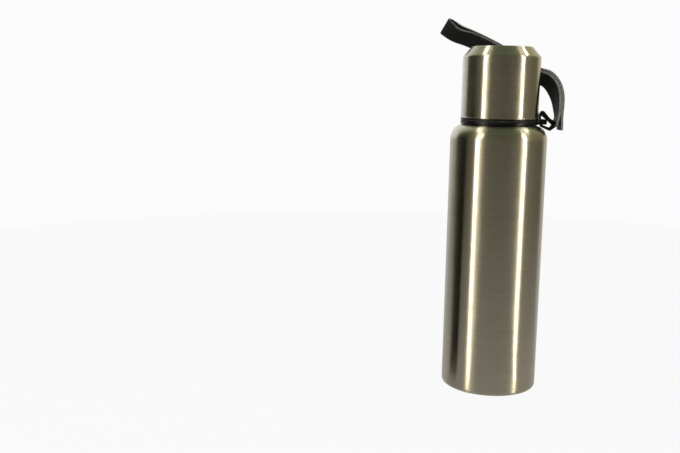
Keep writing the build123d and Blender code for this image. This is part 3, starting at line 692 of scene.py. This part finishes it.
# Makes a mesh piece from vertices in millimetres and faces, smooth except at corners over an angle
def makePiece(name, vertices, faces, material, corner=35.0):
    mesh = bpy.data.meshes.new(name)
    mesh.from_pydata((np.asarray(vertices) * mm).tolist(), [], [list(face) for face in faces])
    mesh.polygons.foreach_set("use_smooth", np.ones(len(mesh.polygons), bool))
    mesh.set_sharp_from_angle(angle=math.radians(corner))
    mesh.materials.append(material)
    mesh.update()
    piece = bpy.data.objects.new(name, mesh)
    bpy.context.scene.collection.objects.link(piece)
    return piece


# Vectors divided by their own length
def unit(v):
    return v / np.linalg.norm(v, axis=-1, keepdims=True)


# Points of an arc, centre plus radius times (cos a, sin a), with a in degrees
def arcPoints(centre, radius, start, end, step=4.0):
    count = max(2, int(abs(end - start) / step) + 1)
    a = np.radians(np.linspace(start, end, count))
    return np.stack([centre[0] + radius * np.cos(a), centre[1] + radius * np.sin(a)], 1)


# The corner of an outline between two straight sides, rounded: the arc starts and ends radius times the
# tangent of half the turn away from the corner, and its centre lies on the line that halves the corner
def roundedCorner(before, corner, after, radius, step=6.0):
    before, corner, after = [np.asarray(point, float) for point in (before, corner, after)]
    arriving = (corner - before) / np.linalg.norm(corner - before)
    leaving = (after - corner) / np.linalg.norm(after - corner)
    turn = math.acos(float(np.clip(arriving @ leaving, -1, 1)))
    side = 1 if arriving[0] * leaving[1] - arriving[1] * leaving[0] > 0 else -1
    start = corner - arriving * radius * math.tan(turn / 2)
    centre = start + np.array([-arriving[1], arriving[0]]) * side * radius
    angle = math.atan2(start[1] - centre[1], start[0] - centre[0])
    count = max(2, int(math.degrees(turn) / step) + 2)
    a = angle + side * np.linspace(0, turn, count)
    return np.stack([centre[0] + radius * np.cos(a), centre[1] + radius * np.sin(a)], 1)


# A closed outline's straight sides get a guard point close to each end, so that smooth shading stays on the
# bends: each side p to q also holds p + g (q - p) / |q - p| and q - g (q - p) / |q - p|
def guardedOutline(outline, guard=0.25, shortest=1.5):
    outline = np.asarray(outline, float)
    following = np.roll(outline, -1, 0)
    length = np.linalg.norm(following - outline, axis=1)
    points = []
    for p, q, size in zip(outline, following, length):
        points.append(p)
        if size > shortest:
            step = (q - p) / size * guard
            points += [p + step, q - step]
    return np.array(points)


# The quads between the rows and columns of a grid of vertex numbers
def gridFaces(index):
    return np.stack([index[:-1, :-1], index[1:, :-1], index[1:, 1:], index[:-1, 1:]], -1)


# A turned wall: every outline point (r, z) goes round the axis to (r cos a, r sin a, z) on a grid of points
# by turns. A point on the axis becomes one vertex, and a side between two such points has no faces.
def turnedWall(outline, turns):
    a = np.linspace(0, 2 * math.pi, turns, endpoint=False)
    onAxis = outline[:, 0] < 1e-6
    start = np.concatenate([[0], np.cumsum(np.where(onAxis, 1, turns))])
    rings = [np.array([[0, 0, z]]) if axis else np.stack([r * np.cos(a), r * np.sin(a), np.full(turns, z)], 1)
             for (r, z), axis in zip(outline, onAxis)]
    here = np.arange(turns)
    after = np.roll(here, -1)
    faces = []
    for i in range(len(outline)):
        j = (i + 1) % len(outline)
        if onAxis[i] and onAxis[j]:
            continue
        if onAxis[i]:
            ring = [np.full(turns, start[i]), start[j] + here, start[j] + after]
        elif onAxis[j]:
            ring = [start[i] + after, start[i] + here, np.full(turns, start[j])]
        else:
            ring = [start[i] + after, start[j] + after, start[j] + here, start[i] + here]
        faces += np.stack(ring, 1).tolist()
    return np.concatenate(rings), faces


# Joins lists of (vertices, faces) into one
def joinedMeshes(parts):
    vertices, faces, first = [], [], 0
    for points, polygons in parts:
        vertices.append(points)
        faces += [[i + first for i in polygon] for polygon in polygons]
        first += len(points)
    return np.concatenate(vertices), faces


print("tools ready")

bodySettings = {
    "radius": 41.5,
    "wall": 0.5,
    "footRadius": 38.0,
    "footWidth": 1.6,
    "footCorner": 3.5,
    "shoulderRadius": 12.5,
    "shoulderHeight": 232.5,
    "neckRadius": 27.0,
    "neckBend": 0.4,
    "neckTop": 251.6,
    "turns": 288,
    "threadBottom": 240.6,
    "threadRise": 8.0,
    "threadLead": 12.0,
    "threadStarts": 3,
    "threadDepth": 1.2,
    "threadSink": 0.15,
    "threadRoot": 1.5,
    "threadCrest": 0.7,
    "threadRunOut": 14.0,
    "threadSamples": 96,
}


# The body is one drawn sheet: foot, side, shoulder and neck, and its inside back down to the foot
def bodyOutline(s):
    foot = (s["footRadius"], s["footCorner"])
    bend = (s["radius"] - s["shoulderRadius"], s["shoulderHeight"] - s["shoulderRadius"])
    footEdge = s["footRadius"] - s["footWidth"]
    roof, wall, neck = s["shoulderHeight"], s["wall"], s["neckRadius"]
    return np.concatenate([
        [(footEdge, 0)],
        arcPoints(foot, s["footCorner"], -90, 0, step=7.5),
        arcPoints(bend, s["shoulderRadius"], 0, 90, step=3.0),
        [(neck + s["neckBend"], roof), (neck, roof + s["neckBend"])],
        [(neck, s["neckTop"]), (neck - wall, s["neckTop"]), (neck - wall, roof - wall)],
        arcPoints(bend, s["shoulderRadius"] - wall, 90, 0, step=6.0),
        arcPoints(foot, s["footCorner"] - wall, 0, -90, step=15.0),
        [(footEdge, wall)],
    ])


# One rolled thread ridge: its section slides up the helix, and its depth swells and fades over the run-out:
# depth times the sine of a quarter turn times the share of the run-out passed. Each point of the section is a
# share of the depth and a height.
def threadRidge(s, start):
    share = np.linspace(0, 1, s["threadSamples"])
    total = s["threadRise"] / s["threadLead"] * 360
    angle = np.radians(start + share * total)
    height = s["threadBottom"] + share * s["threadRise"]
    fade = np.minimum(np.minimum(share, 1 - share) * total / s["threadRunOut"], 1.0)
    depth = s["threadDepth"] * np.sin(fade * math.pi / 2)
    root, crest, sink = s["threadRoot"] / 2, s["threadCrest"] / 2, s["threadSink"]
    section = [(0.0, -root), (0.5, -(root + crest) / 2), (0.92, -crest * 1.2), (1.0, -crest * 0.6),
               (1.0, crest * 0.6), (0.92, crest * 1.2), (0.5, (root + crest) / 2), (0.0, root)]
    rings = []
    for out, up in section:
        r = s["neckRadius"] - sink + (depth + sink) * out
        rings.append(np.stack([r * np.cos(angle), r * np.sin(angle), height + up], 1))
    vertices = np.stack(rings, 1).reshape(-1, 3)
    index = np.arange(len(vertices)).reshape(len(share), len(section))
    faces = gridFaces(index).reshape(-1, 4).tolist() + [index[0].tolist(), index[-1][::-1].tolist()]
    return vertices, faces


def makeBody(s):
    parts = [turnedWall(guardedOutline(bodyOutline(s)), s["turns"])]
    parts += [threadRidge(s, 360 / s["threadStarts"] * i) for i in range(s["threadStarts"])]
    vertices, faces = joinedMeshes(parts)
    body = makePiece("bodyShell", vertices, faces, steelFinish)
    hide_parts("outer_shell")
    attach(body, "flask")


makeBody(bodySettings)
print("body made")

cupSettings = {
    "radius": 33.15,
    "wall": 0.5,
    "bottom": 238.0,
    "coneFoot": 290.1,
    "top": 298.6,
    "topRadius": 25.6,
    "coneFillet": 3.0,
    "topFillet": 1.2,
    "beadRadius": 0.4,
    "beadInset": 0.35,
    "beadEnd": 40.0,
    "beadHeight": 2.2,
    "middleRing": 8.0,
    "insideShift": 0.25,
    "turns": 256,
}


# The cup is drawn sheet too: a rolled bead at its mouth, the side, the cone and the flat top, and its inside.
# The bead's inset and height are shares of its radius.
def makeCup(s):
    bottom, top, radius, wall, bead = s["bottom"], s["top"], s["radius"], s["wall"], s["beadRadius"]
    side, foot, edge, middle = (radius, bottom), (radius, s["coneFoot"]), (s["topRadius"], top), (0.0, top)
    ring, shift = s["middleRing"], s["insideShift"]
    outline = np.concatenate([
        [(radius - wall, bottom)],
        arcPoints((radius - bead * s["beadInset"], bottom + bead), bead, -90, s["beadEnd"], step=16.0),
        [(radius, bottom + bead * s["beadHeight"])],
        roundedCorner(side, foot, edge, s["coneFillet"]),
        roundedCorner(foot, edge, middle, s["topFillet"], step=8.0),
        [(ring, top), (0.0, top), (0.0, top - wall), (ring, top - wall)],
        roundedCorner(middle, edge, foot, s["topFillet"] - wall, step=12.0) - (shift, wall),
        roundedCorner(edge, foot, side, s["coneFillet"] - wall, step=12.0) - (wall, shift),
    ])
    vertices, faces = turnedWall(guardedOutline(outline), s["turns"])
    cup = makePiece("cupShell", vertices, faces, steelFinish)
    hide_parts("cup_shell")
    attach(cup, "cup")


makeCup(cupSettings)
print("cup made")

strapSettings = {
    "width": 15.0,
    "thickness": 1.9,
    "gap": 0.3,
    "opening": 8.0,
    "standoff": 18.0,
    "rise": 84.0,
    "cupRadius": 33.15,
    "hemX": 48.51,
    "hemZ": 233.2,
    "hemParting": 2.3,
    "hemBar": 0.95,
    "tail": 4.7,
    "tailShares": (1.0, 0.66, 0.33),
    "foldRadius": 3.4,
    "foldSteps": 12,
    "slotWidth": 4.8,
    "slotHeight": 6.4,
    "steps": 9,
    "columns": (-7.5, -7.0, -5.9, -4.2, -2.4, 0.0, 2.4, 4.2, 5.9, 7.0, 7.5),
    "bevel": 0.32,
    "bevelAngle": 50.0,
    "smoothAngle": 80.0,
}
# Each row: the angle round the flask in degrees, the shares of the stand-off and of the rise, the width's
# direction as (radial, tangential, upward) shares, and the shares of the opening between the two strands and
# of the strip's thickness
strapRows = (
    (0.6, 1.025, 0.089, (0.00, -0.97, 0.23), 0.0, 1.13),
    (3.0, 1.033, 0.188, (0.08, -0.99, 0.10), 0.0, 1.2),
    (7.5, 1.028, 0.289, (0.13, -0.89, 0.43), 0.0, 1.32),
    (14.1, 0.955, 0.386, (0.10, -0.84, 0.54), 0.01, 1.47),
    (22.0, 0.798, 0.464, (-0.13, -0.72, 0.68), 0.06, 1.5),
    (30.3, 0.479, 0.502, (-0.32, -0.61, 0.72), 0.06, 1.18),
    (47.7, 0.351, 0.583, (-0.39, -0.52, 0.76), 0.0, 1.03),
    (72.2, 0.404, 0.688, (-0.51, -0.51, 0.69), 0.04, 1.0),
    (95.6, 0.720, 0.798, (-0.57, -0.19, 0.80), 0.13, 1.0),
    (112.3, 1.123, 0.886, (-0.69, -0.13, 0.71), 0.2, 1.0),
    (123.1, 1.454, 0.939, (-0.63, 0.22, 0.74), 0.44, 1.0),
    (128.5, 1.788, 0.998, (-0.41, 0.04, 0.91), 0.0, 1.0),
)


# A smooth curve through rows of numbers. Between rows b and c, with a before and d after, at share t it is
# half of (2 b + (c - a) t + (2 a - 5 b + 4 c - d) t squared + (3 b - a - 3 c + d) t cubed)
def smoothRows(rows, steps):
    padded = np.concatenate([[2 * rows[0] - rows[1]], rows, [2 * rows[-1] - rows[-2]]])
    a, b, c, d = [padded[i:len(padded) - 3 + i, None] for i in range(4)]
    t = (np.arange(steps) / steps)[None, :, None]
    curve = 0.5 * (2 * b + (c - a) * t + (2 * a - 5 * b + 4 * c - d) * t * t
                   + (3 * b - a - 3 * c + d) * t ** 3)
    return np.concatenate([curve.reshape(-1, rows.shape[1]), rows[-1:]])


# The middle of the strip as a run of places, width directions and thicknesses: from the tail's end up the
# outer strand, round the tip fold, and down the inner strand to the hem. The strands stand to the two sides
# of one centre line.
def strapRun(s):
    places = [(s["hemX"] + s["hemParting"], 0, s["hemZ"])]
    widths = [(0, -1, 0)]
    partings = [s["hemParting"]]
    thicknesses = [s["thickness"]]
    for angle, outShare, riseShare, (radial, tangential, upward), openShare, thickShare in strapRows:
        a = math.radians(angle)
        out = np.array([math.cos(a), math.sin(a), 0])
        along = np.array([-out[1], out[0], 0])
        height = s["hemZ"] + s["rise"] * riseShare
        places.append(out * (s["cupRadius"] + s["standoff"] * outShare) + (0, 0, height))
        widths.append(out * radial + along * tangential + (0, 0, upward))
        thicknesses.append(s["thickness"] * thickShare)
        partings.append((thicknesses[-1] + s["gap"] + s["opening"] * openShare) / 2)
    partings[-1] = s["foldRadius"]
    rows = smoothRows(np.column_stack([places, unit(np.array(widths)), partings, thicknesses]), s["steps"])
    place, width, parting, thick = rows[:, :3], rows[:, 3:6], rows[:, 6:7], rows[:, 7]
    along = unit(np.gradient(place, axis=0))
    along[0] = (0, 0, 1)  # the strip stands straight up in its hem
    width = unit(width - along * np.sum(width * along, 1, keepdims=True))
    inward = np.cross(width, along)
    outer, inner = place - inward * parting, place + inward * parting
    tail = [outer[0] - along[0] * s["tail"] * share for share in s["tailShares"]]
    turn = np.radians(np.linspace(0, 180, s["foldSteps"] + 1)[1:-1])[:, None]
    fold = place[-1] + s["foldRadius"] * (along[-1] * np.sin(turn) - inward[-1] * np.cos(turn))
    end = [inner[0] - along[0] * s["hemBar"]]
    middle = np.concatenate([tail, outer, fold, inner[::-1], end])
    direction, thickness = [
        np.concatenate([[run[0]] * len(tail), run, [run[-1]] * len(fold), run[::-1], [run[0]]])
        for run in (width, thick)]
    return middle, direction, thickness


# The strip is a grid of rows by columns, less the slot over the hem's bar. Solidify gives it its thickness,
# with the cut edge as its rim, and each row's share is its thickness over the greatest one. Its UV map holds
# millimetres across and along the strip.
def makeStrap(s):
    middle, direction, thickness = strapRun(s)
    length = np.concatenate([[0], np.cumsum(np.linalg.norm(np.diff(middle, axis=0), axis=1))])
    slotFrom, slotTo = 2 * s["hemBar"], s["hemBar"] + s["slotHeight"]
    marks = np.sort(np.concatenate([length, length[-1] - np.array([slotFrom, slotTo])]))
    middle = np.stack([np.interp(marks, length, middle[:, i]) for i in range(3)], 1)
    direction = unit(np.stack([np.interp(marks, length, direction[:, i]) for i in range(3)], 1))
    thickness = np.interp(marks, length, thickness)
    across = np.array(s["columns"])
    grid = middle[:, None] + direction[:, None] * across[None, :, None]
    index = np.arange(len(marks) * len(across)).reshape(len(marks), len(across))
    fromEnd = length[-1] - marks
    deep = ((fromEnd[:-1] + fromEnd[1:]) / 2)[:, None]
    wide = (np.abs(across[:-1] + across[1:]) / 2)[None]
    inSlot = (slotFrom < deep) & (deep < slotTo) & (wide < s["slotWidth"] / 2)
    faces = gridFaces(index)[~inSlot][:, [0, 3, 2, 1]].tolist()
    leather = grainedLeather(leatherSettings, s["width"])
    strap = makePiece("carryStrap", grid.reshape(-1, 3), faces, leather, corner=s["smoothAngle"])
    mesh = strap.data
    mesh.materials.append(cutLeatherEdge(leatherSettings))
    u = np.tile(across + s["width"] / 2, len(marks))
    v = np.repeat(marks, len(across))
    loops = np.empty(len(mesh.loops), int)
    mesh.loops.foreach_get("vertex_index", loops)
    layer = mesh.uv_layers.new(name="strip")
    layer.data.foreach_set("uv", np.stack([u[loops], v[loops]], 1).ravel())
    shares = strap.vertex_groups.new(name="thicknessShare")
    for row, share in zip(index, thickness / thickness.max()):
        shares.add(row.tolist(), float(share), "REPLACE")
    solid = strap.modifiers.new("thickness", "SOLIDIFY")
    solid.thickness = float(thickness.max()) * mm
    solid.vertex_group = shares.name
    solid.offset = 0.0
    solid.use_even_offset = True
    solid.material_offset_rim = 1
    bevel = strap.modifiers.new("softEdges", "BEVEL")
    bevel.width = s["bevel"] * mm
    bevel.segments = 2
    bevel.limit_method = "ANGLE"
    bevel.angle_limit = math.radians(s["bevelAngle"])
    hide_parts("carry_strap")
    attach(strap, "strap")


makeStrap(strapSettings)
print("strap made")

springSettings = {
    "radius": 4.05,
    "wire": 0.9,
    "turns": 5,
    "steps": 200,
    "sides": 12,
    "travel": 3.0,
}


# The button's coil spring: a helix of places (r cos a, r sin a, z) with a round wire carried along it
def makeSpring(s):
    low, high = [np.array(corner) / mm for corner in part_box("button_spring")]
    height = high[2] - low[2]
    share = np.linspace(0, 1, s["steps"] + 1)
    a = 2 * math.pi * s["turns"] * share
    climb = height - s["wire"]
    out = np.stack([np.cos(a), np.sin(a), np.zeros_like(a)], 1)
    middle = out * s["radius"] + np.outer(low[2] + s["wire"] / 2 + climb * share, (0, 0, 1))
    slope = np.full_like(a, climb / (2 * math.pi * s["turns"]))
    along = unit(np.stack([-np.sin(a) * s["radius"], np.cos(a) * s["radius"], slope], 1))
    up = np.cross(along, out)
    turn = np.linspace(0, 2 * math.pi, s["sides"], endpoint=False)[None, :, None]
    rings = middle[:, None] + s["wire"] / 2 * (out[:, None] * np.cos(turn) + up[:, None] * np.sin(turn))
    index = np.arange(rings.shape[0] * s["sides"]).reshape(-1, s["sides"])
    closed = np.concatenate([index, index[:, :1]], 1)
    faces = gridFaces(closed).reshape(-1, 4).tolist() + [index[0].tolist(), index[-1][::-1].tolist()]
    spring = makePiece("buttonSpring", rings.reshape(-1, 3), faces, springWire(insideSettings))
    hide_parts("button_spring")
    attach(spring, "stopper")
    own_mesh(spring)


makeSpring(springSettings)
print("spring made")
